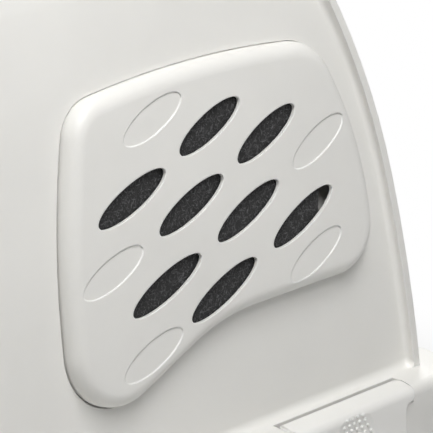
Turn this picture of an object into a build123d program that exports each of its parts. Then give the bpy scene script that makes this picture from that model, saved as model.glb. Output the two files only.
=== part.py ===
from build123d import *
from math import asin, cos, sin, sqrt
import os

# A covered litter box: a tray, a hood that rests on its rim, four over-edge latches, a swing door
# and a filter vent on the left side. Front is -Y, left is -X, the floor is z = 0. Millimetres.

# Overall plan of the hood's ledge and skirt
ledge_length = 516.0
ledge_width = 400.0
ledge_corner_radius = 30.0
ledge_height = 152.0
shell_wall = 2.8
skirt_drop = 38.0
skirt_draft = 2.0
shoulder_radius = 4.5
root_fillet = 4.0

# Hood walls: each is an arc, upright at its bulge height and leaning inwards above it
side_foot_offset = 21.0
side_bulge_radius = 1800.0
side_bulge_height = 20.0
rear_foot_offset = 21.0
rear_bulge_radius = 1100.0
rear_bulge_height = 56.0
hood_top = 412.0
crown_radius = 1100.0
rear_corner_radius = 70.0
roof_edge_radius = 62.0

# Front edge of the hood, seen from the side: a long arc that tightens above the break height
front_foot_offset = 21.0
front_low_radius = 1100.0
front_bulge_height = 62.0
front_break_height = 248.0
front_high_radius = 350.0
flange_rise = 4.6
flange_width = 3.8
flange_root_radius = 2.4

# Front panel and its doorway
panel_setback = 51.0
porch_overlap = 8.0
panel_wall = 2.6
forehead_inset = 5.0
forehead_bend = 25.0
panel_fit = 0.25
door_opening_width = 196.0
door_opening_height = 172.0
door_opening_radius = 34.0
door_opening_top_radius = 3.0
door_sill_rise = 10.0
collar_width = 7.0
collar_depth = 13.0
collar_front = 3.0
collar_edge = 1.2

# Swing door
door_wall = 2.4
door_gap = 2.0
door_barrel_radius = 4.0
door_pivot_radius = 2.4
door_pivot_reach = 4.5
door_pull_depth = 5.0
door_pull_width = 46.0
door_pull_wall = 3.0
door_pull_rise = 26.0
running_clearance = 0.06

# Tray
tray_rim_height = 141.2
tray_wall = 2.6
tray_floor = 3.0
tray_inset = 13.0
tray_draft = 12.0
tray_corner_radius = 42.0
tray_base_fillet = 12.0
rim_inset = 7.0
rim_lip_drop = 13.2
rim_lip_wall = 2.4
rim_bead = 1.0
rim_bead_height = 3.0
rim_edge_radius = 1.6

# Feet
foot_radius = 12.0
foot_height = 4.0
foot_ring_wall = 2.4
foot_ring_height = 1.6
foot_ring_gap = 0.2
foot_edge = 1.0
foot_inset = 36.0

# Ribs that carry the ledge on the rim
rib_wall = 2.4
rib_spacing = 80.0

# Latches
latch_width = 82.0
latch_from_front = 82.0
latch_wall = 2.6
latch_proud = 0.6
latch_top_depth = 13.4
latch_end_taper = 3.5
latch_shoulder_radius = 4.0
latch_drop = 46.0
latch_lean = 1.8
latch_flare = 2.0
latch_flare_height = 7.0
latch_corner_radius = 3.0
latch_ear_height = 6.0
latch_ear_width = 9.0
latch_ear_radius = 3.4
latch_foot_radius = 7.0
latch_gap = 0.8
latch_hinge_gap = 2.6
pocket_depth = 6.8
pocket_wall = 2.4
hinge_from_edge = 2.2
hinge_below_ledge = 1.7
barrel_radius = 1.7
pin_radius = 0.6
pin_hold = 2.0
pin_end_gap = 0.4
hook_clearance = 0.3
hook_height = 3.0
hook_width = 30.0

# Vent cover, on the left wall. Its outline is in u (towards the front) and v (up the wall).
vent_from_front = 142.0
vent_height = 252.0
cover_rise = 8.0
cover_wall = 1.8
cover_edge_radius = 7.2
cover_top_left = (-79.3, 65.0)
cover_top_middle = (-6.0, 70.5)
cover_top_right = (66.4, 65.8)
cover_right_middle = (88.3, 12.6)
cover_bottom_right = (92.7, -43.7)
cover_waist = (-5.9, -43.7)
cover_bottom_left = (-90.2, -80.1)
cover_left_middle = (-92.1, 2.4)
cover_top_left_radius = 19.5
cover_top_right_radius = 27.0
cover_bottom_right_radius = 22.5
cover_waist_radius = 105.0
cover_bottom_left_radius = 28.0

# Slots in the cover: ellipses on a slanting lattice that fans out, and blind ones near the border
slot_length = 43.3
slot_length_step = 1.9
slot_width = 12.6
slot_tilt = 23.0
slot_fan = 0.043
slot_origin = (-21.3, 11.0)
slot_row_step = (33.3, -10.4)
slot_column_step = (-16.8, -31.2)
slot_column_curve = -1.5
open_slots = [(0, -1), (1, -1), (-1, 0), (0, 0), (1, 0), (2, 0), (0, 1), (1, 1)]
blind_length = 37.4
blind_width = 12.9
blind_depth = 0.5
blind_slots = [(-38.3, 52.1), (59.0, 21.7), (-69.3, -7.0), (51.8, -28.7), (-50.8, -48.1)]

# Seat of the cover and pocket of the filter in the hood's wall
seat_depth = 2.0
seat_gap = 0.5
seat_shift = -0.2
seat_clearance = 0.3
seat_backing = 3.0
seat_border = 6.0
filter_width = 135.0
filter_height = 92.0
filter_centre = (-10.5, 8.4)
filter_corner_radius = 8.0
filter_thickness = 10.0
filter_gap = 0.4
pocket_floor_depth = 5.0
grille_wall = 2.4
grille_bar = 5.0
grille_columns = 6
grille_rows = 4
tongue_width = 14.0
tongue_wall = 2.0
tongue_depth = 9.0
tongue_clearance = 0.25
tongue_places = [
    (-40.0, 60.2, 0), (38.0, 60.2, 0), (79.0, -22.0, 90), (-83.4, 5.0, 90), (-64.0, -55.5, 0)
]

# Carry handle in a recess of the roof
recess_length = 168.0
recess_width = 74.0
recess_depth = 20.0
recess_corner_radius = 8.0
recess_wall = 2.4
recess_centre_y = 36.0
handle_length = 158.0
handle_reach = 60.0
handle_arm = 16.0
handle_grip = 17.0
handle_height = 12.0
handle_corner_radius = 20.0
handle_edge_radius = 3.4
handle_pivot_from_end = 6.0
handle_clearance = 2.0
handle_pin_radius = 3.0
handle_pin_length = 15.0

# Values that follow from the sizes above
half_length = ledge_length / 2
half_width = ledge_width / 2
ledge_under = ledge_height - shell_wall
skirt_bottom = ledge_height - skirt_drop
side_foot = half_width - side_foot_offset
rear_foot = half_length - rear_foot_offset
front_foot = -half_length + front_foot_offset
front_end = -half_length + 4.0
far = 2 * ledge_length


def arc_rise(radius, bulge_height, height):
    """Horizontal reach of a circle of this radius at a height, from its centre."""
    return sqrt(radius ** 2 - (height - bulge_height) ** 2)


side_centre = side_foot - arc_rise(side_bulge_radius, side_bulge_height, ledge_height)
rear_centre = rear_foot - arc_rise(rear_bulge_radius, rear_bulge_height, ledge_height)
front_low_centre = front_foot + arc_rise(front_low_radius, front_bulge_height, ledge_height)
front_break_lean = asin((front_break_height - front_bulge_height) / front_low_radius)
front_high_centre = (
    front_low_centre - (front_low_radius - front_high_radius) * cos(front_break_lean),
    front_break_height - front_high_radius * sin(front_break_lean),
)


def block(x_range, y_range, z_range):
    """A box between two values on each axis, given in either order."""
    size = [abs(high - low) for low, high in (x_range, y_range, z_range)]
    middle = [(high + low) / 2 for low, high in (x_range, y_range, z_range)]
    return Pos(*middle) * Box(*size)


def plan_plate(inset, radius, bottom, top):
    """A rounded rectangle of the ledge's plan, drawn in by an inset, between two heights."""
    outline = RectangleRounded(ledge_width - 2 * inset, ledge_length - 2 * inset, radius)
    return extrude(Pos(0, 0, bottom) * outline, amount=top - bottom)


def across(face):
    """A side-view face (y, z), made solid over the whole width."""
    return extrude(Plane.YZ * face, amount=ledge_width, both=True)


def drafted(inset, radius, bottom, top, draft):
    """A rounded plate of the ledge's plan whose sides lean inwards towards the bottom."""
    def ring(height):
        drawn = draft * (ledge_height - height) / skirt_drop
        edge = inset + drawn
        shape = RectangleRounded(ledge_width - 2 * edge, ledge_length - 2 * edge, radius - drawn)
        return Pos(0, 0, height) * shape
    return loft([ring(bottom).face(), ring(top).face()], ruled=True)


def front_zone(inset, bottom, top):
    """Side-view face behind the front edge curve, drawn in by an inset, between two heights."""
    low = front_low_radius - inset
    high = front_high_radius - inset
    high_y, high_z = front_high_centre

    def low_point(height):
        return (front_low_centre - arc_rise(low, front_bulge_height, height), height)

    def high_point(height):
        return (high_y - arc_rise(high, high_z, height), height)

    break_z = high_z + high * sin(front_break_lean)
    edge = Wire([
        Edge.make_line((far, bottom), low_point(bottom)),
        Edge.make_three_point_arc(low_point(bottom), low_point((bottom + break_z) / 2), low_point(break_z)),
        Edge.make_three_point_arc(low_point(break_z), high_point((break_z + top) / 2), high_point(top)),
        Edge.make_line(high_point(top), (far, top)),
        Edge.make_line((far, top), (far, bottom)),
    ])
    return Face(edge)


def front_depth(point):
    """How far a point lies behind the front edge curve."""
    if point.Z < front_break_height:
        reach = sqrt((point.Y - front_low_centre) ** 2 + (point.Z - front_bulge_height) ** 2)
        return front_low_radius - reach
    high_y, high_z = front_high_centre
    return front_high_radius - sqrt((point.Y - high_y) ** 2 + (point.Z - high_z) ** 2)


def hood_form(inset, bottom):
    """The hood's dome as one solid, drawn in by an inset, running on past its front edge."""
    crown_centre = hood_top - crown_radius
    side_radius = side_bulge_radius - inset
    top = hood_top + roof_edge_radius
    section = Pos(0, (bottom + top) / 2) * Rectangle(ledge_width, top - bottom)
    section &= Pos(side_centre, side_bulge_height) * Circle(side_radius)
    section &= Pos(-side_centre, side_bulge_height) * Circle(side_radius)
    section &= Pos(0, crown_centre) * Circle(crown_radius - inset)
    length = rear_foot - front_end + 20
    dome = extrude(Plane.XZ.offset(-rear_foot - 20) * section, amount=length)
    rear = Pos(rear_centre, rear_bulge_height) * Circle(rear_bulge_radius - inset)
    rear &= Pos(0, (bottom + top) / 2) * Rectangle(ledge_length + 100, top - bottom)
    dome &= across(rear)
    corners = [
        edge for edge in dome.edges()
        if edge.center().Y > 0 and abs(edge.center().X) > side_foot / 2 and abs(edge.tangent_at(0.5).Z) > 0.9
    ]
    dome = fillet(corners, rear_corner_radius - inset)
    crown = dome.faces().sort_by(Axis.Z)[-1]
    roof_edges = [edge for edge in crown.edges() if edge.center().Y > front_end + 1]
    return fillet(roof_edges, roof_edge_radius - inset)


vent_lean = asin((vent_height - side_bulge_height) / side_bulge_radius)
vent_x = -side_centre - arc_rise(side_bulge_radius, side_bulge_height, vent_height)
vent_y = -half_length + vent_from_front
vent_plane = Plane(
    origin=(vent_x, vent_y, vent_height),
    x_dir=(0, -1, 0),
    z_dir=(-cos(vent_lean), 0, sin(vent_lean)),
)


def wall_slab(low, high):
    """A slice of the left wall round the vent, between two distances out from its surface."""
    reach = 130.0
    ring = Circle(side_bulge_radius + high) - Circle(side_bulge_radius + low)
    ring = Pos(-side_centre, side_bulge_height) * ring
    ring &= Pos(-side_foot, vent_height) * Rectangle(100, 2 * reach)
    return extrude(Plane.XZ.offset(-vent_y - reach) * ring, amount=2 * reach)


def vent_prism(outline):
    """A shape of the vent's own plane, extended along the vent's normal both ways."""
    return extrude(vent_plane * outline, amount=40, both=True)


def cover_outline(growth):
    """The cover's outline in the vent's plane, grown all round."""
    edges = Wire([
        Edge.make_three_point_arc(cover_bottom_left, cover_left_middle, cover_top_left),
        Edge.make_three_point_arc(cover_top_left, cover_top_middle, cover_top_right),
        Edge.make_three_point_arc(cover_top_right, cover_right_middle, cover_bottom_right),
        Edge.make_line(cover_bottom_right, cover_waist),
        Edge.make_line(cover_waist, cover_bottom_left),
    ])
    outline = Sketch() + Face(edges)
    if growth:
        outline = offset(outline, growth, kind=Kind.INTERSECTION)
    corners = [
        (cover_top_left, cover_top_left_radius + growth),
        (cover_top_right, cover_top_right_radius + growth),
        (cover_bottom_right, cover_bottom_right_radius + growth),
        (cover_waist, cover_waist_radius - growth),
        (cover_bottom_left, cover_bottom_left_radius + growth),
    ]
    for corner, radius in corners:
        vertex = outline.vertices().sort_by_distance((*corner, 0))[0]
        outline = fillet(vertex, radius)
    return outline


def ellipse_at(u, v, length, width):
    """An ellipse in the vent's plane, turned a little further the further it is to the front."""
    return Pos(u, v) * Rot(0, 0, slot_tilt + slot_fan * u) * Ellipse(length / 2, width / 2)


def slot_outlines():
    slots = []
    for along, down in open_slots:
        u = slot_origin[0] + along * slot_row_step[0] + down * slot_column_step[0]
        u += slot_column_curve * down ** 2
        v = slot_origin[1] + along * slot_row_step[1] + down * slot_column_step[1]
        slots.append(ellipse_at(u, v, slot_length + down * slot_length_step, slot_width))
    return Sketch() + slots


def filter_outline(growth):
    shape = RectangleRounded(
        filter_width + 2 * growth,
        filter_height + 2 * growth,
        filter_corner_radius + growth,
    )
    return Pos(*filter_centre) * shape


def tongue_outlines(growth):
    shape = Rectangle(tongue_width + 2 * growth, tongue_wall + 2 * growth)
    return Sketch() + [Pos(u, v) * Rot(0, 0, turn) * shape for u, v, turn in tongue_places]


def make_vent_cover():
    shell = vent_prism(cover_outline(0)) & wall_slab(seat_clearance - seat_depth, cover_rise)
    outer_face = shell.faces().sort_by(Axis((0, 0, 0), tuple(vent_plane.z_dir)))[-1]
    shell = fillet(outer_face.edges(), cover_edge_radius)
    hollow = vent_prism(cover_outline(-cover_wall)) & wall_slab(-seat_depth - 1, cover_rise - cover_wall)
    inner_face = hollow.faces().sort_by(Axis((0, 0, 0), tuple(vent_plane.z_dir)))[-1]
    hollow = fillet(inner_face.edges(), cover_edge_radius - cover_wall)
    shell -= hollow
    shell -= vent_prism(slot_outlines())
    blind = Sketch() + [ellipse_at(u, v, blind_length, blind_width) for u, v in blind_slots]
    shell -= vent_prism(blind) & wall_slab(cover_rise - blind_depth, cover_rise + 1)
    tongues = vent_prism(tongue_outlines(0)) & wall_slab(-tongue_depth, cover_rise - cover_wall + 0.4)
    return shell + tongues


def make_filter_pad():
    front = cover_rise - cover_wall - filter_gap
    return vent_prism(filter_outline(0)) & wall_slab(front - filter_thickness, front)


def add_vent_seat(hood):
    """The seat groove of the cover, and the filter's pocket with a grille at its back."""
    seat_back = -seat_depth - seat_backing
    hood += vent_prism(cover_outline(seat_border)) & wall_slab(seat_back, -shell_wall / 2)
    floor_back = -pocket_floor_depth - grille_wall
    hood += vent_prism(filter_outline(filter_gap + grille_wall)) & wall_slab(floor_back, -shell_wall / 2)
    seat = Pos(seat_shift, seat_shift) * cover_outline(seat_gap)
    hood -= vent_prism(seat) & wall_slab(-seat_depth, 2 * flange_rise)
    hood -= vent_prism(filter_outline(filter_gap)) & wall_slab(-pocket_floor_depth, 0)
    hood -= vent_prism(tongue_outlines(tongue_clearance)) & wall_slab(2 * floor_back, 0)
    pitch_u = (filter_width - grille_bar) / grille_columns
    pitch_v = (filter_height - grille_bar) / grille_rows
    hole = RectangleRounded(pitch_u - grille_bar, pitch_v - grille_bar, 3)
    holes = GridLocations(pitch_u, pitch_v, grille_columns, grille_rows)
    pattern = Sketch() + [Pos(*filter_centre) * place * hole for place in holes]
    return hood - (vent_prism(pattern) & wall_slab(floor_back - 1, 0))


# Latch places and heights, for the right side; the left side mirrors them
latch_face = half_width + latch_proud
latch_edge = latch_face - latch_top_depth
latch_y = half_length - latch_from_front
pocket_edge = latch_edge - latch_hinge_gap
pocket_floor = ledge_height - pocket_depth
hinge_x = latch_edge + hinge_from_edge
hinge_z = ledge_height - hinge_below_ledge
rim_outer = half_width - rim_inset
rim_lip_bottom = tray_rim_height - rim_lip_drop
pin_length = latch_width + 2 * latch_gap + 2 * pin_hold


def place_right(shape, y_centre):
    return Pos(0, y_centre, 0) * shape


def place_left(shape, y_centre):
    return Pos(0, y_centre, 0) * mirror(shape, about=Plane.YZ)


def corner_places():
    """Name and placing function of the four latch corners."""
    return [
        ("front_left", place_left, -latch_y),
        ("front_right", place_right, -latch_y),
        ("rear_left", place_left, latch_y),
        ("rear_right", place_right, latch_y),
    ]


def latch_plan(growth):
    """Plan of the latch's top leaf: rounded at the hinge edge, tapering towards the face."""
    start = latch_edge - growth
    reach = latch_width / 2 + growth
    taper = 2 * latch_end_taper
    end = start + 2 * latch_top_depth
    outline = Polygon(
        (start, -reach),
        (end, -reach + taper),
        (end, reach - taper),
        (start, reach),
        align=None,
    )
    inner = outline.vertices().sort_by(Axis.X)[:2]
    return fillet(inner, latch_corner_radius + growth)


def latch_front(growth):
    """Front view of the latch: a wide top with an ear at each end, and a narrower body below."""
    top = ledge_height + latch_drop
    ear = ledge_height - latch_ear_height - growth
    foot = ledge_height - latch_drop - growth
    half_body = latch_width / 2 - latch_ear_width + growth
    shape = Pos(0, (ear + top) / 2) * Rectangle(2 * latch_width, top - ear)
    shape += Pos(0, (foot + top) / 2) * Rectangle(2 * half_body, top - foot)
    inner = [v for v in shape.vertices() if abs(v.Y - ear) < 0.01 and abs(v.X) < latch_width / 2]
    shape = fillet(inner, latch_ear_radius - growth)
    return fillet(shape.vertices().sort_by(Axis.Y)[:2], latch_foot_radius + growth)


def latch_prism(growth, start, end):
    """The latch's front view, made solid between two distances from the box's middle."""
    return extrude(Plane.YZ.offset(start) * latch_front(growth), amount=end - start)


def latch_column(growth, bottom):
    """The latch's plan, made solid from a height up to above the ledge."""
    top = ledge_height + latch_top_depth
    return extrude(Pos(0, 0, bottom) * latch_plan(growth), amount=top - bottom)


def pocket_body():
    """Material under the ledge that holds one latch pocket."""
    reach = latch_width / 2 + latch_gap + pocket_wall
    outer = half_width - shell_wall / 2
    return block((pocket_edge - pocket_wall, outer), (-reach, reach), (tray_rim_height, ledge_under + 1))


def pocket_void():
    """The space of one latch pocket: its top, the hinge slot, and a notch down through the skirt."""
    void = latch_column(latch_gap, pocket_floor)
    reach = latch_width / 2 - latch_gap
    void += block((pocket_edge, hinge_x), (-reach, reach), (pocket_floor, ledge_height + 1))
    floor_end = latch_face - latch_wall - hook_clearance - latch_gap
    outside = half_width + latch_top_depth
    notch = latch_prism(latch_gap, floor_end, outside)
    skirt_inside = half_width - shell_wall - skirt_draft - 1
    below = block((skirt_inside, outside), (-latch_width, latch_width), (0, tray_rim_height))
    low = latch_prism(latch_gap, skirt_inside, outside) & below
    return void + (notch & latch_column(latch_gap, skirt_bottom - 1)) + low


def pin_bore():
    """Bore for the hinge pin, through the latch and into both ends of its pocket."""
    radius = pin_radius + running_clearance
    return Pos(hinge_x, 0, hinge_z) * Rot(90, 0, 0) * Cylinder(radius, pin_length + pin_end_gap)


def make_latch():
    """Over-edge latch: a top leaf on the hinge, a shoulder, a leaning face and a hook."""
    bottom = ledge_height - latch_drop
    flare_z = bottom + latch_flare_height
    shoulder = latch_face - latch_shoulder_radius
    shoulder_z = ledge_height - latch_shoulder_radius
    inner = latch_face - latch_wall
    inner_radius = latch_shoulder_radius - latch_wall
    bend = sqrt(0.5)
    lean = latch_lean
    reach = latch_lean + latch_flare
    outline = Wire([
        Edge.make_line((latch_edge, ledge_height), (shoulder, ledge_height)),
        Edge.make_three_point_arc(
            (shoulder, ledge_height),
            (shoulder + latch_shoulder_radius * bend, shoulder_z + latch_shoulder_radius * bend),
            (latch_face, shoulder_z),
        ),
        Edge.make_line((latch_face, shoulder_z), (latch_face + lean, flare_z)),
        Edge.make_line((latch_face + lean, flare_z), (latch_face + reach, bottom)),
        Edge.make_line((latch_face + reach, bottom), (inner + reach, bottom)),
        Edge.make_line((inner + reach, bottom), (inner + lean, flare_z)),
        Edge.make_line((inner + lean, flare_z), (inner, shoulder_z)),
        Edge.make_three_point_arc(
            (inner, shoulder_z),
            (shoulder + inner_radius * bend, shoulder_z + inner_radius * bend),
            (shoulder, ledge_height - latch_wall),
        ),
        Edge.make_line((shoulder, ledge_height - latch_wall), (latch_edge, ledge_height - latch_wall)),
        Edge.make_line((latch_edge, ledge_height - latch_wall), (latch_edge, ledge_height)),
    ])
    latch = extrude(Plane.XZ * Face(outline), amount=latch_width / 2, both=True)
    barrel = Pos(hinge_x, 0, hinge_z) * Rot(90, 0, 0) * Cylinder(barrel_radius, latch_width)
    latch = (latch + barrel) & latch_column(0, bottom - 1)
    latch &= latch_prism(0, latch_edge - 1, latch_face + reach + 1)
    hook_tip = rim_outer + rim_bead + hook_clearance
    hook_top = rim_lip_bottom - hook_clearance
    half_hook = hook_width / 2
    hook = block((hook_tip, inner + lean), (-half_hook, half_hook), (hook_top - hook_height, hook_top))
    return latch + hook - pin_bore()


def make_latch_pin():
    return Pos(hinge_x, 0, hinge_z) * Rot(90, 0, 0) * Cylinder(pin_radius, pin_length)


def ledge_ribs():
    """Short ribs between the ledge and the tray's rim, on all four sides between the pockets."""
    ribs = []
    outer_x = half_width - shell_wall / 2
    inner_x = side_foot - shell_wall
    outer_y = half_length - shell_wall / 2
    inner_y = outer_y - (outer_x - inner_x)
    height = (tray_rim_height, ledge_under + 1)
    for step in (-1, 0, 1):
        at = step * rib_spacing
        for side in (-1, 1):
            thick = (at - rib_wall / 2, at + rib_wall / 2)
            ribs.append(block((side * inner_x, side * outer_x), thick, height))
            ribs.append(block(thick, (side * inner_y, side * outer_y), height))
    return ribs


def handle_recess(growth, bottom_growth):
    """The roof recess of the handle as a solid, grown sideways and downwards."""
    shape = RectangleRounded(
        recess_length + 2 * growth,
        recess_width + 2 * growth,
        recess_corner_radius + growth,
    )
    bottom = hood_top - recess_depth - bottom_growth
    top = hood_top + roof_edge_radius
    return extrude(Pos(0, recess_centre_y, bottom) * shape, amount=top - bottom)


handle_axis_y = recess_centre_y - recess_width / 2 + handle_pivot_from_end + handle_clearance
handle_axis_z = hood_top - recess_depth + handle_height / 2 + handle_clearance


def handle_pin(side, radius):
    outer = recess_length / 2 + recess_wall
    middle = side * (outer - handle_pin_length / 2)
    return Pos(middle, handle_axis_y, handle_axis_z) * Rot(0, 90, 0) * Cylinder(radius, handle_pin_length)


def make_handle():
    """A flat bow: two arms on the pins and a grip between them."""
    back = handle_axis_y - handle_pivot_from_end
    centre_y = back + handle_reach / 2
    bow = RectangleRounded(handle_length, handle_reach, handle_corner_radius)
    square = Pos(0, -handle_reach / 4) * Rectangle(handle_length, handle_reach / 2)
    bow = bow + square
    hole_reach = handle_reach - handle_grip
    hole = RectangleRounded(
        handle_length - 2 * handle_arm, hole_reach + handle_corner_radius, handle_corner_radius / 2
    )
    bow -= Pos(0, handle_reach / 2 - handle_grip - (hole_reach + handle_corner_radius) / 2) * hole
    bow = Pos(0, centre_y, handle_axis_z - handle_height / 2) * bow
    handle = extrude(bow, amount=handle_height)
    top = handle.faces().sort_by(Axis.Z)[-1]
    bottom = handle.faces().sort_by(Axis.Z)[0]
    handle = fillet(top.edges() + bottom.edges(), handle_edge_radius)
    for side in (-1, 1):
        handle -= handle_pin(side, handle_pin_radius + running_clearance)
    return handle


def make_hood_shell():
    """Ledge, skirt and dome as one thin moulding, open below and at the front."""
    skirt = drafted(0, ledge_corner_radius, skirt_bottom, ledge_height, skirt_draft)
    skirt = fillet(skirt.faces().sort_by(Axis.Z)[-1].edges(), shoulder_radius)
    hood = skirt + hood_form(0, ledge_under)
    root = [
        edge for edge in hood.edges()
        if abs(edge.center().Z - ledge_height) < 0.01
        and front_end + 1 < edge.center().Y < rear_foot + 1
        and abs(edge.center().X) < side_foot + 1
    ]
    hood = fillet(root, root_fillet)
    above = hood_top + 10
    ahead = front_zone(-far / 4, ledge_height, above) - front_zone(0, ledge_height, above)
    hood -= across(ahead)
    band = front_zone(0, ledge_under, above) - front_zone(flange_width, ledge_under, above)
    hood += hood_form(-flange_rise, ledge_under) & across(band)
    dome = hood_form(0, ledge_height)
    root = [
        edge for edge in hood.edges()
        if abs(front_depth(edge.center()) - flange_width) < 0.01
        and dome.distance_to(Vertex(edge.center())) < 0.01
    ]
    hood = fillet(root, flange_root_radius)
    porch_back = panel_y + porch_overlap
    porch_floor = block((-half_width, half_width), (-half_length, porch_back), (skirt_bottom, ledge_height))
    hood -= hood_form(shell_wall, ledge_under - 1) - porch_floor
    hood -= drafted(shell_wall, ledge_corner_radius - shell_wall, skirt_bottom - 1, ledge_under, skirt_draft)
    return add_handle_recess(add_vent_seat(add_latch_pockets(hood)))


def add_latch_pockets(hood):
    hood += ledge_ribs()
    for name, place, y_centre in corner_places():
        hood += place(pocket_body(), y_centre)
        hood -= place(pocket_void() + pin_bore(), y_centre)
    return hood


def add_handle_recess(hood):
    hood += handle_recess(recess_wall, recess_wall) & hood_form(0, hood_top / 2)
    hood -= handle_recess(0, 0)
    for side in (-1, 1):
        hood -= handle_pin(side, handle_pin_radius + running_clearance)
    return hood


# Doorway and door, in the upright part of the front panel
panel_y = front_foot + panel_setback
door_bottom = ledge_height + door_sill_rise
door_top = door_bottom + door_opening_height
door_axis_y = panel_y - collar_front + collar_depth / 2
door_axis_z = door_top - door_gap - door_barrel_radius


def doorway(growth):
    """Front view of the doorway, grown all round: nearly square above, round below."""
    width = door_opening_width + 2 * growth
    height = door_opening_height + 2 * growth
    outline = Pos(0, (door_bottom + door_top) / 2) * Rectangle(width, height)
    low = outline.vertices().sort_by(Axis.Y)[:2]
    outline = fillet(low, door_opening_radius + growth)
    high = outline.vertices().sort_by(Axis.Y)[-2:]
    return fillet(high, door_opening_top_radius + max(growth, 0))


def through_panel(outline, front, back):
    """A front-view outline as a solid between two distances behind the panel's front face."""
    return extrude(Plane.XZ.offset(-panel_y - back) * outline, amount=back - front)


def panel_zone(depth):
    """Side view of all that lies behind the panel's front, drawn in by a depth."""
    above = hood_top + 5
    height = above - ledge_height
    zone = Sketch() + front_zone(forehead_inset + depth, ledge_height, above)
    zone &= Pos(panel_y + depth + far / 4, ledge_height + height / 2) * Rectangle(far / 2, height)
    front = panel_y + depth
    bends = [v for v in zone.vertices() if abs(v.Y - ledge_height) > 1 and abs(v.X - front) < 0.01]
    return fillet(bends, forehead_bend - depth)


def make_front_panel():
    """Upright panel with the doorway, bent back above it to follow the hood's front edge."""
    panel = across(panel_zone(0) - panel_zone(panel_wall)) & hood_form(shell_wall + panel_fit, ledge_height)
    collar = through_panel(doorway(collar_width), -collar_front, collar_depth - collar_front)
    ends = collar.faces().sort_by(Axis.Y)
    collar = fillet(ends[0].edges() + ends[-1].edges(), collar_edge)
    panel += collar
    panel -= through_panel(doorway(0), -collar_depth, 2 * collar_depth)
    back = seat_depth + seat_backing + panel_fit
    panel -= vent_prism(cover_outline(seat_border + panel_fit)) & wall_slab(-back, 0)
    radius = door_pivot_radius + running_clearance
    reach = door_opening_width + 2 * door_pivot_reach + 2 * running_clearance
    return panel - Pos(0, door_axis_y, door_axis_z) * Rot(0, 90, 0) * Cylinder(radius, reach)


def make_door():
    """Clear flap with its pivots moulded on, and a pull on each side."""
    outline = doorway(-door_gap)
    outline &= Pos(0, (door_bottom + door_axis_z) / 2) * Rectangle(
        door_opening_width, door_axis_z - door_bottom
    )
    middle = door_axis_y - panel_y
    door = through_panel(outline, middle - door_wall / 2, middle + door_wall / 2)
    bar_length = door_opening_width - 2 * door_gap
    axis_place = Pos(0, door_axis_y, door_axis_z) * Rot(0, 90, 0)
    door += axis_place * Cylinder(door_barrel_radius, bar_length)
    door += axis_place * Cylinder(door_pivot_radius, door_opening_width + 2 * door_pivot_reach)
    pull = Pos(0, door_axis_y, door_bottom + door_pull_rise) * Box(
        door_pull_width, 2 * door_pull_depth + door_wall, door_pull_wall
    )
    return door + fillet(pull.edges().filter_by(Axis.Z), door_pull_depth / 2)


def tray_form(inset, bottom, top):
    """The drafted tub between two heights, drawn in by a wall thickness."""
    def ring(height):
        drawn = tray_draft * (tray_rim_height - height) / (tray_rim_height - foot_height)
        edge = tray_inset + inset + drawn
        shape = RectangleRounded(
            ledge_width - 2 * edge,
            ledge_length - 2 * edge,
            tray_corner_radius - inset - drawn,
        )
        return Pos(0, 0, height) * shape
    return loft([ring(bottom).face(), ring(top).face()], ruled=True)


def foot_places():
    edge = tray_inset + tray_draft + foot_inset
    x = half_width - edge
    y = half_length - edge
    return [
        ("front_left", -x, -y),
        ("front_right", x, -y),
        ("rear_left", -x, y),
        ("rear_right", x, y),
    ]


def make_tray():
    rim_under = tray_rim_height - tray_wall
    tray = tray_form(0, foot_height, rim_under + 1)
    tray = fillet(tray.faces().sort_by(Axis.Z)[0].edges(), tray_base_fillet)
    radius = ledge_corner_radius - rim_inset
    rim = plan_plate(rim_inset, radius, rim_lip_bottom, tray_rim_height)
    rim = fillet(rim.faces().sort_by(Axis.Z)[-1].edges(), rim_edge_radius)
    bead_top = rim_lip_bottom + rim_bead_height
    rim += plan_plate(rim_inset - rim_bead, radius + rim_bead, rim_lip_bottom, bead_top)
    rim -= plan_plate(rim_inset + rim_lip_wall, radius - rim_lip_wall, rim_lip_bottom - 1, rim_under)
    inside = tray_form(tray_wall, foot_height + tray_floor, tray_rim_height + 1)
    inside = fillet(inside.faces().sort_by(Axis.Z)[0].edges(), tray_base_fillet - tray_wall)
    tray = tray + rim - inside
    inner = foot_radius + foot_ring_gap
    low = foot_height - foot_ring_height
    high = foot_height + tray_floor / 2
    ring = Circle(inner + foot_ring_wall) - Circle(inner)
    for name, x, y in foot_places():
        tray += extrude(Pos(x, y, low) * ring, amount=high - low)
    return tray


def make_foot():
    foot = Pos(0, 0, foot_height / 2) * Cylinder(foot_radius, foot_height)
    return fillet(foot.faces().sort_by(Axis.Z)[0].edges(), foot_edge)


def write(shape, name):
    shape.label = name
    export_step(shape, f"parts/{name}.step")


def main():
    os.makedirs("parts", exist_ok=True)
    write(make_tray(), "base_tray")
    for name, x, y in foot_places():
        write(Pos(x, y, 0) * make_foot(), f"foot_{name}")
    write(make_hood_shell(), "hood_shell")
    write(make_front_panel(), "front_panel")
    write(make_door(), "swing_door")
    latch = make_latch()
    pin = make_latch_pin()
    for name, place, y_centre in corner_places():
        write(place(latch, y_centre), f"latch_{name}")
        write(place(pin, y_centre), f"latch_pin_{name}")
    write(make_vent_cover(), "vent_cover")
    write(make_filter_pad(), "carbon_filter")
    write(make_handle(), "carry_handle")
    write(handle_pin(-1, handle_pin_radius), "handle_pin_left")
    write(handle_pin(1, handle_pin_radius), "handle_pin_right")


if __name__ == "__main__":
    main()
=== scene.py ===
from math import copysign, cos, pi, radians, sin, sqrt

import bmesh
import bpy
from bpy.props import FloatProperty, FloatVectorProperty, PointerProperty
from mathutils import Matrix, Vector, noise
from mathutils.bvhtree import BVHTree


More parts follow.
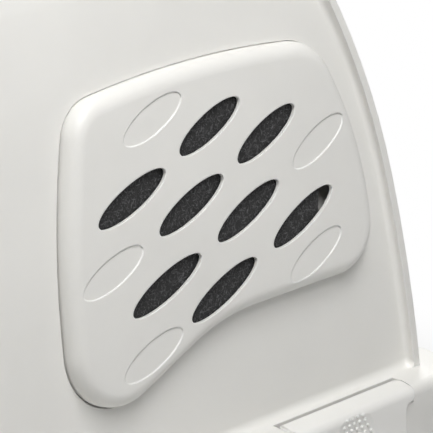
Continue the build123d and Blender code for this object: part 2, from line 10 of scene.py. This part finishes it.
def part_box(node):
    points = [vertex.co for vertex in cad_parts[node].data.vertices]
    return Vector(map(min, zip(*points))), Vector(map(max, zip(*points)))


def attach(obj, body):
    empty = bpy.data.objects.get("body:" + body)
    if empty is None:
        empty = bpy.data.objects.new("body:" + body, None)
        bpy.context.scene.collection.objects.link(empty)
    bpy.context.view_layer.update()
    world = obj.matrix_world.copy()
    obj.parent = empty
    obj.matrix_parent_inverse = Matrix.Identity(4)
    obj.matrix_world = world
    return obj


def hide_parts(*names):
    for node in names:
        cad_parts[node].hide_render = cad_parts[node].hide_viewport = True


bl_info = {
    "name": "Covered litter box",
    "version": (1, 0, 0),
    "blender": (4, 5, 0),
    "location": "3D View > Sidebar > Litter box",
    "description": "Finishes, filter foam, dimpled latches and studio for a covered litter box",
    "category": "Object",
}

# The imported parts, and the box that they fill before anything is added
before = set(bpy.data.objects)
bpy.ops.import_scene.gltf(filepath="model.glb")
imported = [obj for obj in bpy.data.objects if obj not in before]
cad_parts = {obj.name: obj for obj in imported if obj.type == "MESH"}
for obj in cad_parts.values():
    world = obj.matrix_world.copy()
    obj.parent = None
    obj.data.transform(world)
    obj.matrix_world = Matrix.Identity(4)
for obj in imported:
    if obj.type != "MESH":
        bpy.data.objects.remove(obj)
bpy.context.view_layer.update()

CORNERS = ("front_left", "front_right", "rear_left", "rear_right")

# How close points are when they are merged, on a latch and on the filter pad, in metres
LATCH_MERGE = 0.00001
PAD_MERGE = 0.00005

# Cosine between the rounded and the flat normal where the painted edge highlight starts, and where
# it is full
EDGE_TURN = (0.995, 0.9)

# How far the wall beside the vent leans inwards for each metre up
WALL_LEAN = 0.13

# The filter pad spreads where it stands out from the wall, or is this little behind it, in metres
WALL_MARGIN = 0.0005

# Length over which the pad spreads forwards, up to its front edge
FRONT_RUN = 0.012

# Places along the box between which the pad's drop grows to the full, and its share ahead of them
REAR_RUN = (-0.123, -0.101)
LEAST_DROP = 0.2

# Heights above the pad's lower edge between which the drop grows
LOW_RUN = (0.014, 0.002)

# The finer lumps of the pad, against the coarse ones
FINE_LUMP_HEIGHT = 0.5
FINE_LUMP_PACE = 2.7

# Each soft light's azimuth and elevation in degrees and distance in metres, from the lit point
LAMPS = {
    "key": (245, 68, 1.0),
    "side": (245, 50, 1.0),
    "far": (45, 40, 1.6),
    "rear": (135, 35, 1.6),
}
LIT_POINT = (-0.15, -0.12, 0.2)
LAMP_COLOUR = (1.0, 0.995, 0.985)
ROOM_COLOUR = (0.99, 0.995, 1.0, 1)

# The floor turns to white between these distances from the middle of the box, in metres
FLOOR_FADE = (0.36, 0.62)
FLOOR_RADIUS = 9


class LitterBoxFinishes(bpy.types.PropertyGroup):
    hood_colour: FloatVectorProperty(
        name="Hood colour",
        description="Colour of the moulded hood, front panel, vent cover and handle",
        subtype="COLOR",
        min=0,
        max=1,
        default=(0.835, 0.828, 0.800),
    )
    latch_colour: FloatVectorProperty(
        name="Latch colour",
        description="Colour of the four latches",
        subtype="COLOR",
        min=0,
        max=1,
        default=(0.890, 0.885, 0.861),
    )
    tray_colour: FloatVectorProperty(
        name="Tray colour",
        description="Colour of the litter tray",
        subtype="COLOR",
        min=0,
        max=1,
        default=(0.815, 0.808, 0.780),
    )
    # Painted highlight: the mouldings' edges get this paler colour, standing in for light caught
    # along their rims
    painted_edge_highlight: FloatVectorProperty(
        name="Edge colour",
        description="Colour of the mouldings' highlighted edges",
        subtype="COLOR",
        min=0,
        max=1,
        default=(0.96, 0.957, 0.945),
    )
    foam_colour: FloatVectorProperty(
        name="Foam colour",
        description="Colour of the carbon filter between its fibres",
        subtype="COLOR",
        min=0,
        max=1,
        default=(0.021, 0.021, 0.022),
    )
    wire_colour: FloatVectorProperty(
        name="Wire colour",
        description="Colour of the bright wire pins",
        subtype="COLOR",
        min=0,
        max=1,
        default=(0.62, 0.62, 0.63),
    )
    rubber_colour: FloatVectorProperty(
        name="Foot colour",
        description="Colour of the soft feet",
        subtype="COLOR",
        min=0,
        max=1,
        default=(0.105, 0.105, 0.102),
    )
    door_colour: FloatVectorProperty(
        name="Door tint",
        description="Tint of the clear swing door",
        subtype="COLOR",
        min=0,
        max=1,
        default=(0.58, 0.62, 0.64),
    )
    plastic_roughness: FloatProperty(
        name="Plastic roughness",
        description="Roughness of the satin mouldings",
        min=0.05,
        max=1,
        default=0.42,
    )
    grain_size: FloatProperty(
        name="Grain size",
        description="Size of the fine texture left by the mould",
        unit="LENGTH",
        min=0.0001,
        default=0.0006,
    )
    edge_radius: FloatProperty(
        name="Edge radius",
        description="Radius at which the mouldings' sharp edges catch the light",
        unit="LENGTH",
        min=0,
        default=0.0008,
    )


class LitterBoxGrip(bpy.types.PropertyGroup):
    dot_radius: FloatProperty(
        name="Dot radius",
        description="Radius of one raised grip dot on a latch",
        unit="LENGTH",
        min=0.0002,
        default=0.0009,
    )
    patch_shift: FloatProperty(
        name="Patch shift",
        description="Distance of the patch from the latch's middle, towards the middle of the box",
        unit="LENGTH",
        default=0.0025,
    )
    dot_pitch: FloatProperty(
        name="Dot pitch",
        description="Distance between neighbouring grip dots",
        unit="LENGTH",
        min=0.001,
        default=0.0035,
    )
    patch_radius: FloatProperty(
        name="Patch radius",
        description="Radius of the round patch of dots",
        unit="LENGTH",
        min=0.002,
        default=0.0108,
    )
    patch_below_top: FloatProperty(
        name="Patch below top",
        description="Distance of the patch's centre below the latch's top",
        unit="LENGTH",
        min=0,
        default=0.012,
    )
    dimple_radius: FloatProperty(
        name="Dimple radius",
        description="Radius of the shallow finger dimple round the dots",
        unit="LENGTH",
        min=0.001,
        default=0.0128,
    )
    dimple_depth: FloatProperty(
        name="Dimple depth",
        description="Depth of the finger dimple",
        unit="LENGTH",
        min=0,
        default=0.0015,
    )


class LitterBoxFoam(bpy.types.PropertyGroup):
    lump: FloatProperty(
        name="Surface lumps",
        description="How far the foam's surface rises and falls",
        unit="LENGTH",
        min=0,
        default=0.0004,
    )
    cell: FloatProperty(
        name="Lump size",
        description="Size of the lumps on the foam's surface",
        unit="LENGTH",
        min=0.0005,
        default=0.0035,
    )
    spread: FloatVectorProperty(
        name="Spread",
        description="How far the pad's front spreads over its seat, to the front and downwards",
        size=2,
        unit="LENGTH",
        default=(0.0025, 0.006),
    )
    mesh_step: FloatProperty(
        name="Mesh step",
        description="Size of the faces of the pad's mesh",
        unit="LENGTH",
        min=0.0005,
        default=0.0016,
    )


class LitterBoxStudio(bpy.types.PropertyGroup):
    azimuth: FloatProperty(
        name="Camera azimuth",
        description="Camera's turn about the vertical, from straight in front of the door",
        subtype="ANGLE",
        default=radians(225.0),
    )
    elevation: FloatProperty(
        name="Camera elevation",
        description="Camera's height angle above the vent cover",
        subtype="ANGLE",
        default=radians(19.0),
    )
    distance: FloatProperty(
        name="Camera distance",
        description="Distance from the camera to the middle of the vent",
        unit="LENGTH",
        default=1.2174,
    )
    lens: FloatProperty(
        name="Lens",
        description="Focal length on a 36 mm sensor, in millimetres",
        default=232.8,
    )
    vent_centre: FloatVectorProperty(
        name="Vent centre",
        description="Point on the left wall that the camera looks at",
        subtype="TRANSLATION",
        default=(-0.1688, -0.116, 0.252),
    )
    floor_colour: FloatVectorProperty(
        name="Floor colour",
        description="Colour of the pale floor",
        subtype="COLOR",
        min=0,
        max=1,
        default=(0.72, 0.72, 0.715),
    )
    key_power: FloatProperty(
        name="Key light",
        description="Power of the soft light high over the vent side",
        subtype="POWER",
        default=5.2,
    )
    side_power: FloatProperty(
        name="Side light",
        description="Power of the lower soft light on the vent side",
        subtype="POWER",
        default=3.5,
    )
    far_power: FloatProperty(
        name="Far light",
        description="Power of the soft light on the door side, away from the camera",
        subtype="POWER",
        default=8.5,
    )
    rear_power: FloatProperty(
        name="Rear light",
        description="Power of the soft light behind the box, away from the camera",
        subtype="POWER",
        default=5.5,
    )
    room_light: FloatProperty(
        name="Room light",
        description="Strength of the even light from the white room",
        min=0,
        default=0.04,
    )


class FinishGraph:
    """Material with a principled shader, and short calls for the nodes that feed it."""

    def __init__(self, name):
        self.material = bpy.data.materials.new(name)
        self.material.use_nodes = True
        self.nodes = self.material.node_tree.nodes
        self.links = self.material.node_tree.links
        self.shader = self.nodes["Principled BSDF"]
        self.place = self.nodes.new("ShaderNodeTexCoord").outputs["Object"]

    def join(self, source, node, socket):
        self.links.new(source, node.inputs[socket])

    def noise(self, size, detail):
        """Noise whose features have about this size, in metres."""
        node = self.nodes.new("ShaderNodeTexNoise")
        node.inputs["Scale"].default_value = 1 / size
        node.inputs["Detail"].default_value = detail
        self.join(self.place, node, "Vector")
        return node.outputs["Fac"]

    def stretched_noise(self, size, stretch, turn):
        """Noise drawn out into strands along the upright axis, turned by these angles."""
        mapping = self.nodes.new("ShaderNodeMapping")
        mapping.vector_type = "TEXTURE"
        mapping.inputs["Rotation"].default_value = turn
        mapping.inputs["Scale"].default_value = (1, 1, stretch)
        self.join(self.place, mapping, "Vector")
        node = self.nodes.new("ShaderNodeTexNoise")
        node.inputs["Scale"].default_value = 1 / size
        node.inputs["Detail"].default_value = 3
        self.join(mapping.outputs["Vector"], node, "Vector")
        return node.outputs["Fac"]

    def ramp(self, value, low, high, low_at=0.0, high_at=1.0):
        """Colour that runs from low to high as the value does."""
        node = self.nodes.new("ShaderNodeValToRGB")
        start, end = node.color_ramp.elements
        start.position = low_at
        end.position = high_at
        start.color = (*low, 1)
        end.color = (*high, 1)
        self.join(value, node, "Fac")
        return node.outputs["Color"]

    def ranged(self, value, low, high):
        node = self.nodes.new("ShaderNodeMapRange")
        node.inputs["To Min"].default_value = low
        node.inputs["To Max"].default_value = high
        self.join(value, node, "Value")
        return node.outputs["Result"]

    def math(self, operation, first, second):
        """One sum of two sockets."""
        node = self.nodes.new("ShaderNodeMath")
        node.operation = operation
        self.join(first, node, 0)
        self.join(second, node, 1)
        return node.outputs["Value"]

    def greater(self, first, second):
        return self.math("MAXIMUM", first, second)

    def rounded_edges(self, radius):
        node = self.nodes.new("ShaderNodeBevel")
        node.samples = 6
        node.inputs["Radius"].default_value = radius
        return node.outputs["Normal"]

    def painted_highlight_share(self, rounded):
        """Zero on the open surface, and up to one along the edges that the rounding turns, where
        the painted edge highlight goes.
        """
        surface = self.nodes.new("ShaderNodeNewGeometry").outputs["Normal"]
        turn = self.nodes.new("ShaderNodeVectorMath")
        turn.operation = "DOT_PRODUCT"
        self.join(rounded, turn, 0)
        self.join(surface, turn, 1)
        share = self.nodes.new("ShaderNodeMapRange")
        share.inputs["From Min"].default_value = EDGE_TURN[0]
        share.inputs["From Max"].default_value = EDGE_TURN[1]
        self.join(turn.outputs["Value"], share, "Value")
        return share.outputs["Result"]

    def mixed(self, share, colour, other):
        """A colour that gives way to another one as the share rises."""
        # Several sockets of a mix node have the same name, so the colour ones go by number
        node = self.nodes.new("ShaderNodeMix")
        node.data_type = "RGBA"
        self.join(share, node, 0)
        self.join(colour, node, 6)
        node.inputs[7].default_value = (*other, 1)
        return node.outputs[2]

    def bump(self, value, depth, strength, under=None):
        node = self.nodes.new("ShaderNodeBump")
        node.inputs["Distance"].default_value = depth
        node.inputs["Strength"].default_value = strength
        self.join(value, node, "Height")
        if under is not None:
            self.join(under, node, "Normal")
        return node.outputs["Normal"]


def shade(colour, factor):
    return tuple(min(1.0, part * factor) for part in colour)


def satin_plastic(name, colour, finishes):
    """Injection-moulded plastic: fine texture, faint clouds, and edges painted paler as a
    highlight.
    """
    graph = FinishGraph(name)
    edges = graph.rounded_edges(finishes.edge_radius)
    clouds = graph.noise(size=0.07, detail=3)
    tone = graph.ramp(clouds, shade(colour, 0.975), shade(colour, 1.02), low_at=0.3, high_at=0.7)
    # Painted highlight: the edges are mixed towards the paler edge colour, standing in for light
    # along the rims
    tone = graph.mixed(graph.painted_highlight_share(edges), tone, finishes.painted_edge_highlight)
    graph.join(tone, graph.shader, "Base Color")
    gloss = graph.noise(size=0.012, detail=4)
    rough = finishes.plastic_roughness
    sway = 0.05
    graph.join(graph.ranged(gloss, rough - sway, rough + sway), graph.shader, "Roughness")
    grain = graph.noise(finishes.grain_size, detail=2)
    fine = graph.bump(grain, depth=0.00004, strength=0.35, under=edges)
    flow = graph.noise(size=0.03, detail=1)
    normal = graph.bump(flow, depth=0.0004, strength=0.12, under=fine)
    graph.join(normal, graph.shader, "Normal")
    graph.shader.inputs["IOR"].default_value = 1.48
    graph.shader.inputs["Specular IOR Level"].default_value = 0.5
    graph.shader.inputs["Subsurface Weight"].default_value = 0.06
    graph.shader.inputs["Subsurface Radius"].default_value = (1.0, 0.9, 0.75)
    graph.shader.inputs["Subsurface Scale"].default_value = 0.0015
    return graph.material


def clear_door_plastic(name, colour):
    """Smoked clear sheet with the faintest waviness and rub marks."""
    graph = FinishGraph(name)
    rubs = graph.stretched_noise(size=0.004, stretch=6, turn=(0.4, 0.2, 0.9))
    tone = graph.ramp(rubs, shade(colour, 0.96), shade(colour, 1.03), low_at=0.3, high_at=0.7)
    graph.join(tone, graph.shader, "Base Color")
    graph.join(graph.ranged(rubs, low=0.04, high=0.14), graph.shader, "Roughness")
    wave = graph.bump(graph.noise(size=0.05, detail=1), depth=0.0004, strength=0.2)
    graph.join(wave, graph.shader, "Normal")
    graph.shader.inputs["IOR"].default_value = 1.58
    graph.shader.inputs["Transmission Weight"].default_value = 0.82
    return graph.material


def carbon_foam(name, colour):
    """Carbon-loaded felt: short grey fibres lying every way over near-black gaps."""
    graph = FinishGraph(name)
    fibres = graph.greater(
        graph.greater(
            graph.stretched_noise(size=0.00075, stretch=4, turn=(0.5, 0, 0)),
            graph.stretched_noise(size=0.00075, stretch=4, turn=(1.6, 0.3, 0)),
        ),
        graph.stretched_noise(size=0.00065, stretch=5, turn=(2.6, -0.3, 0)),
    )
    tone = graph.ramp(fibres, shade(colour, 0.25), shade(colour, 7.5), low_at=0.57, high_at=0.82)
    graph.join(tone, graph.shader, "Base Color")
    graph.shader.inputs["Roughness"].default_value = 0.92
    graph.shader.inputs["Sheen Weight"].default_value = 0.08
    fine = graph.bump(fibres, depth=0.0006, strength=0.8)
    tufts = graph.noise(size=0.003, detail=3)
    normal = graph.bump(tufts, depth=0.0008, strength=0.4, under=fine)
    graph.join(normal, graph.shader, "Normal")
    return graph.material


def soft_rubber(name, colour):
    """Dull rubber with a little dust on it."""
    graph = FinishGraph(name)
    dust = graph.noise(size=0.006, detail=5)
    tone = graph.ramp(dust, shade(colour, 0.85), shade(colour, 1.2), low_at=0.35, high_at=0.7)
    graph.join(tone, graph.shader, "Base Color")
    graph.join(graph.ranged(dust, low=0.62, high=0.78), graph.shader, "Roughness")
    pores = graph.bump(graph.noise(size=0.0005, detail=2), depth=0.00005, strength=0.5)
    graph.join(pores, graph.shader, "Normal")
    return graph.material


def drawn_wire(name, colour):
    """Bright wire with drawing lines along its length."""
    graph = FinishGraph(name)
    lines = graph.stretched_noise(size=0.0002, stretch=30, turn=(pi / 2, 0, 0))
    tone = graph.ramp(lines, shade(colour, 0.8), shade(colour, 1.1), low_at=0.3, high_at=0.7)
    graph.join(tone, graph.shader, "Base Color")
    graph.join(graph.ranged(lines, low=0.24, high=0.42), graph.shader, "Roughness")
    graph.shader.inputs["Metallic"].default_value = 1
    graph.join(graph.bump(lines, depth=0.00002, strength=0.3), graph.shader, "Normal")
    return graph.material


def smooth(value, start, end):
    """Zero at the start, one at the end, and a soft run between them."""
    share = min(1.0, max(0.0, (value - start) / (end - start)))
    return share * share * (3 - 2 * share)


def paint(piece, material):
    piece.data.materials.clear()
    piece.data.materials.append(material)


def finish_mesh(name, mesh, material, shaded=True):
    """Turn a bmesh into a piece at the origin, with its material."""
    data = bpy.data.meshes.new(name)
    mesh.to_mesh(data)
    mesh.free()
    piece = bpy.data.objects.new(name, data)
    bpy.context.scene.collection.objects.link(piece)
    data.materials.append(material)
    if shaded:
        data.shade_smooth()
    return piece


def bake(piece):
    """Apply the piece's modifiers to its mesh."""
    bpy.context.view_layer.update()
    depsgraph = bpy.context.evaluated_depsgraph_get()
    data = bpy.data.meshes.new_from_object(piece.evaluated_get(depsgraph))
    piece.modifiers.clear()
    piece.data = data


class LITTERBOX_OT_mouldings(bpy.types.Operator):
    """Give the hood, front panel, vent cover, handle and tray their satin plastic"""

    bl_idname = "litterbox.mouldings"
    bl_label = "Finish mouldings"

    def execute(self, context):
        finishes = context.scene.litterbox_finishes
        hood = satin_plastic("hood_plastic", finishes.hood_colour, finishes)
        tray = satin_plastic("tray_plastic", finishes.tray_colour, finishes)
        for node in ("hood_shell", "front_panel", "vent_cover", "carry_handle"):
            paint(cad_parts[node], hood)
        paint(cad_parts["base_tray"], tray)
        return {"FINISHED"}


class LITTERBOX_OT_small_parts(bpy.types.Operator):
    """Give the door, feet and pins their clear plastic, rubber and wire"""

    bl_idname = "litterbox.small_parts"
    bl_label = "Finish small parts"

    def execute(self, context):
        finishes = context.scene.litterbox_finishes
        wire = drawn_wire("pin_steel", finishes.wire_colour)
        rubber = soft_rubber("rubber_foot", finishes.rubber_colour)
        door = clear_door_plastic("door_clear", finishes.door_colour)
        paint(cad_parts["swing_door"], door)
        for corner in CORNERS:
            paint(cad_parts["latch_pin_" + corner], wire)
            paint(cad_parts["foot_" + corner], rubber)
        for side in ("left", "right"):
            paint(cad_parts["handle_pin_" + side], wire)
        return {"FINISHED"}


class LITTERBOX_OT_latches(bpy.types.Operator):
    """Cut the finger dimple in each latch, and set the grip dots in it"""

    bl_idname = "litterbox.latches"
    bl_label = "Finish latches"

    def execute(self, context):
        grip = context.scene.litterbox_grip
        finishes = context.scene.litterbox_finishes
        material = satin_plastic("latch_plastic", finishes.latch_colour, finishes)
        for corner in CORNERS:
            node = "latch_" + corner
            side = -1 if "left" in corner else 1
            low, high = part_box(node)
            middle = (low.y + high.y) / 2
            middle -= copysign(grip.patch_shift, middle)
            centre = Vector((0, middle, high.z - grip.patch_below_top))
            face = self.face_finder(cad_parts[node], side)
            leaf = self.dimpled_leaf(corner, *face(centre), grip, material)
            dots = self.dots(corner, centre, grip, material, self.face_finder(leaf, side))
            for piece in (leaf, dots):
                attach(piece, node)
            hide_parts(node)
        return {"FINISHED"}

    def dimpled_leaf(self, corner, centre, outward, grip, material):
        """The latch with a shallow round hollow, which bites into the rounding along its top."""
        mesh = bmesh.new()
        mesh.from_mesh(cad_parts["latch_" + corner].data)
        bmesh.ops.remove_doubles(mesh, verts=mesh.verts, dist=LATCH_MERGE)
        leaf = finish_mesh("latch_leaf_" + corner, mesh, material, shaded=False)
        # The cutter is a flattened ball, whose cap is as wide and as deep as the dimple
        reach = 4 * grip.dimple_depth
        share = sqrt(1 - (1 - grip.dimple_depth / reach) ** 2)
        across = grip.dimple_radius / share
        ball = bmesh.new()
        bmesh.ops.create_uvsphere(ball, u_segments=72, v_segments=72, radius=1)
        bmesh.ops.scale(ball, verts=ball.verts, vec=(across, across, reach))
        turn = Vector((0, 0, 1)).rotation_difference(outward).to_matrix()
        bmesh.ops.rotate(ball, verts=ball.verts, matrix=turn)
        place = centre + outward * (reach - grip.dimple_depth)
        bmesh.ops.translate(ball, verts=ball.verts, vec=place)
        cutter = finish_mesh("dimple_cutter", ball, material)
        cut = leaf.modifiers.new("dimple", "BOOLEAN")
        cut.operation = "DIFFERENCE"
        cut.solver = "EXACT"
        cut.object = cutter
        bake(leaf)
        leaf.data.shade_smooth()
        leaf.data.set_sharp_from_angle(angle=radians(30))
        even = leaf.modifiers.new("even_faces", "WEIGHTED_NORMAL")
        even.keep_sharp = True
        bake(leaf)
        bpy.data.objects.remove(cutter)
        return leaf

    def dots(self, corner, centre, grip, material, face):
        rows = int(grip.patch_radius / grip.dot_pitch) + 2
        row_height = grip.dot_pitch * sqrt(3) / 2
        mesh = bmesh.new()
        for row in range(-rows, rows + 1):
            for step in range(-rows, rows + 1):
                across = (step + 0.5 * (row % 2)) * grip.dot_pitch
                up = row * row_height
                if sqrt(across ** 2 + up ** 2) > grip.patch_radius:
                    continue
                place = face(centre + Vector((0, across, up)))[0]
                bmesh.ops.create_uvsphere(
                    mesh,
                    u_segments=12,
                    v_segments=8,
                    radius=grip.dot_radius,
                    matrix=Matrix.Translation(place),
                )
        return finish_mesh("grip_dots_" + corner, mesh, material)

    def face_finder(self, piece, side):
        """A function that gives the piece's outer face beside a point, and the way it looks."""
        tree = BVHTree.FromPolygons(
            [vertex.co for vertex in piece.data.vertices],
            [polygon.vertices for polygon in piece.data.polygons],
        )

        def face(point):
            start = Vector((side, point.y, point.z))
            return tree.ray_cast(start, Vector((-side, 0, 0)))[:2]
        return face


class LITTERBOX_OT_filter(bpy.types.Operator):
    """Model the fibrous carbon filter pad behind the vent cover"""

    bl_idname = "litterbox.filter"
    bl_label = "Add carbon filter"

    def execute(self, context):
        foam = context.scene.litterbox_foam
        finishes = context.scene.litterbox_finishes
        mesh = bmesh.new()
        mesh.from_mesh(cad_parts["carbon_filter"].data)
        bmesh.ops.remove_doubles(mesh, verts=mesh.verts, dist=PAD_MERGE)
        bmesh.ops.dissolve_limit(mesh, angle_limit=radians(1), verts=mesh.verts, edges=mesh.edges)
        material = carbon_foam("carbon_foam", finishes.foam_colour)
        pad = finish_mesh("filter_foam", mesh, material)
        remesh = pad.modifiers.new("cells", "REMESH")
        remesh.mode = "VOXEL"
        remesh.voxel_size = foam.mesh_step
        bake(pad)
        data = pad.data
        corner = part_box("carbon_filter")[0]
        wall_point = Vector(context.scene.litterbox_studio.vent_centre)
        for vertex in data.vertices:
            point = vertex.co / foam.cell
            lift = noise.noise(point) + FINE_LUMP_HEIGHT * noise.noise(point * FINE_LUMP_PACE)
            vertex.co -= vertex.normal * foam.lump * (1 + lift)
            self.spread(vertex, corner, wall_point, foam.spread)
        data.materials.clear()
        data.materials.append(material)
        data.shade_smooth()
        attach(pad, "filter")
        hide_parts("carbon_filter")
        return {"FINISHED"}

    def spread(self, vertex, low, wall_point, reach):
        """Let the front of the pad swell over its seat, behind the slots of the vent cover."""
        wall = wall_point.x + WALL_LEAN * (vertex.co.z - wall_point.z)
        if vertex.co.x > wall + WALL_MARGIN:
            return
        forward = smooth(vertex.co.y, low.y + FRONT_RUN, low.y)
        vertex.co.y -= reach[0] * forward
        rearward = smooth(vertex.co.y, *REAR_RUN)
        downward = smooth(vertex.co.z, low.z + LOW_RUN[0], low.z + LOW_RUN[1])
        drop = (LEAST_DROP + (1 - LEAST_DROP) * rearward) * reach[1] * downward
        vertex.co.z -= drop
        vertex.co.x -= WALL_LEAN * drop


class LITTERBOX_OT_studio(bpy.types.Operator):
    """Set the pale floor, the soft lights, the white room and the camera"""

    bl_idname = "litterbox.studio"
    bl_label = "Set studio"

    def execute(self, context):
        studio = context.scene.litterbox_studio
        self.floor(studio)
        self.room(context.scene, studio)
        for name, (azimuth, elevation, distance) in LAMPS.items():
            power = getattr(studio, name + "_power")
            aim = (radians(azimuth), radians(elevation))
            self.soft_light(name + "_light", aim, distance, power)
        self.camera(context.scene, studio)
        return {"FINISHED"}

    def floor(self, studio):
        mesh = bmesh.new()
        bmesh.ops.create_circle(mesh, cap_ends=True, segments=96, radius=FLOOR_RADIUS)
        graph = FinishGraph("floor_paint")
        clouds = graph.noise(size=0.2, detail=3)
        colour = studio.floor_colour
        tone = graph.ramp(clouds, shade(colour, 0.99), shade(colour, 1.005))
        graph.join(tone, graph.shader, "Base Color")
        graph.shader.inputs["Roughness"].default_value = 0.7
        nodes = graph.nodes
        ring = nodes.new("ShaderNodeVectorMath")
        ring.operation = "LENGTH"
        graph.join(graph.place, ring, 0)
        fade = nodes.new("ShaderNodeMapRange")
        fade.inputs["From Min"].default_value = FLOOR_FADE[0]
        fade.inputs["From Max"].default_value = FLOOR_FADE[1]
        fade.interpolation_type = "SMOOTHSTEP"
        graph.join(ring.outputs["Value"], fade, "Value")
        seen = self.seen_by_eye(nodes, graph.links)
        share = graph.math("MULTIPLY", fade.outputs["Result"], seen)
        white = nodes.new("ShaderNodeEmission")
        mix = nodes.new("ShaderNodeMixShader")
        graph.join(share, mix, "Fac")
        graph.join(graph.shader.outputs["BSDF"], mix, 1)
        graph.join(white.outputs["Emission"], mix, 2)
        graph.join(mix.outputs["Shader"], nodes["Material Output"], "Surface")
        finish_mesh("floor", mesh, graph.material, shaded=False)

    def seen_by_eye(self, nodes, links):
        """One where the camera, a reflection or a clear part looks, and zero for other light."""
        rays = nodes.new("ShaderNodeLightPath")
        total = rays.outputs["Is Camera Ray"]
        for other in ("Is Glossy Ray", "Is Transmission Ray"):
            add = nodes.new("ShaderNodeMath")
            add.operation = "MAXIMUM"
            links.new(total, add.inputs[0])
            links.new(rays.outputs[other], add.inputs[1])
            total = add.outputs["Value"]
        return total

    def room(self, scene, studio):
        world = bpy.data.worlds.new("white_room")
        world.use_nodes = True
        scene.world = world
        nodes = world.node_tree.nodes
        links = world.node_tree.links
        room = nodes["Background"]
        room.inputs["Color"].default_value = ROOM_COLOUR
        room.inputs["Strength"].default_value = studio.room_light
        white = nodes.new("ShaderNodeBackground")
        white.inputs["Color"].default_value = (1, 1, 1, 1)
        mix = nodes.new("ShaderNodeMixShader")
        links.new(self.seen_by_eye(nodes, links), mix.inputs["Fac"])
        links.new(room.outputs["Background"], mix.inputs[1])
        links.new(white.outputs["Background"], mix.inputs[2])
        links.new(mix.outputs["Shader"], nodes["World Output"].inputs["Surface"])
        scene.view_settings.view_transform = "Standard"

    def soft_light(self, name, aim, distance, power):
        """A round light a third as wide as it is far, turned by azimuth and elevation."""
        data = bpy.data.lights.new(name, "AREA")
        data.shape = "DISK"
        data.size = distance / 3
        data.energy = power
        data.color = LAMP_COLOUR
        light = bpy.data.objects.new(name, data)
        back = self.away(*aim)
        light.location = Vector(LIT_POINT) + back * distance
        light.rotation_euler = back.to_track_quat("Z", "Y").to_euler()
        light.visible_camera = False
        bpy.context.scene.collection.objects.link(light)

    def away(self, azimuth, elevation):
        """The way from the object to a camera or light."""
        flat = cos(elevation)
        return Vector((sin(azimuth) * flat, -cos(azimuth) * flat, sin(elevation)))

    def camera(self, scene, studio):
        back = self.away(studio.azimuth, studio.elevation)
        data = bpy.data.cameras.new("camera")
        data.sensor_width = 36
        data.lens = studio.lens
        camera = bpy.data.objects.new("camera", data)
        camera.location = Vector(studio.vent_centre) + back * studio.distance
        camera.rotation_euler = back.to_track_quat("Z", "Y").to_euler()
        scene.collection.objects.link(camera)
        scene.camera = camera


class LITTERBOX_PT_sidebar(bpy.types.Panel):
    bl_label = "Litter box"
    bl_idname = "LITTERBOX_PT_sidebar"
    bl_space_type = "VIEW_3D"
    bl_region_type = "UI"
    bl_category = "Litter box"

    def draw(self, context):
        for settings in SETTINGS:
            column = self.layout.column(align=True)
            group = getattr(context.scene, settings)
            for name in group.bl_rna.properties.keys():
                if name not in ("rna_type", "name"):
                    column.prop(group, name)
        for operator in OPERATORS:
            self.layout.operator(operator.bl_idname)


SETTINGS = {
    "litterbox_finishes": LitterBoxFinishes,
    "litterbox_grip": LitterBoxGrip,
    "litterbox_foam": LitterBoxFoam,
    "litterbox_studio": LitterBoxStudio,
}
OPERATORS = (
    LITTERBOX_OT_mouldings,
    LITTERBOX_OT_small_parts,
    LITTERBOX_OT_latches,
    LITTERBOX_OT_filter,
    LITTERBOX_OT_studio,
)


def register():
    for settings, group in SETTINGS.items():
        bpy.utils.register_class(group)
        setattr(bpy.types.Scene, settings, PointerProperty(type=group))
    for operator in OPERATORS:
        bpy.utils.register_class(operator)
    bpy.utils.register_class(LITTERBOX_PT_sidebar)


def unregister():
    bpy.utils.unregister_class(LITTERBOX_PT_sidebar)
    for operator in reversed(OPERATORS):
        bpy.utils.unregister_class(operator)
    for settings, group in SETTINGS.items():
        delattr(bpy.types.Scene, settings)
        bpy.utils.unregister_class(group)


def main():
    register()
    bpy.ops.litterbox.mouldings()
    bpy.ops.litterbox.small_parts()
    bpy.ops.litterbox.latches()
    bpy.ops.litterbox.filter()
    bpy.ops.litterbox.studio()


if __name__ == "__main__":
    main()
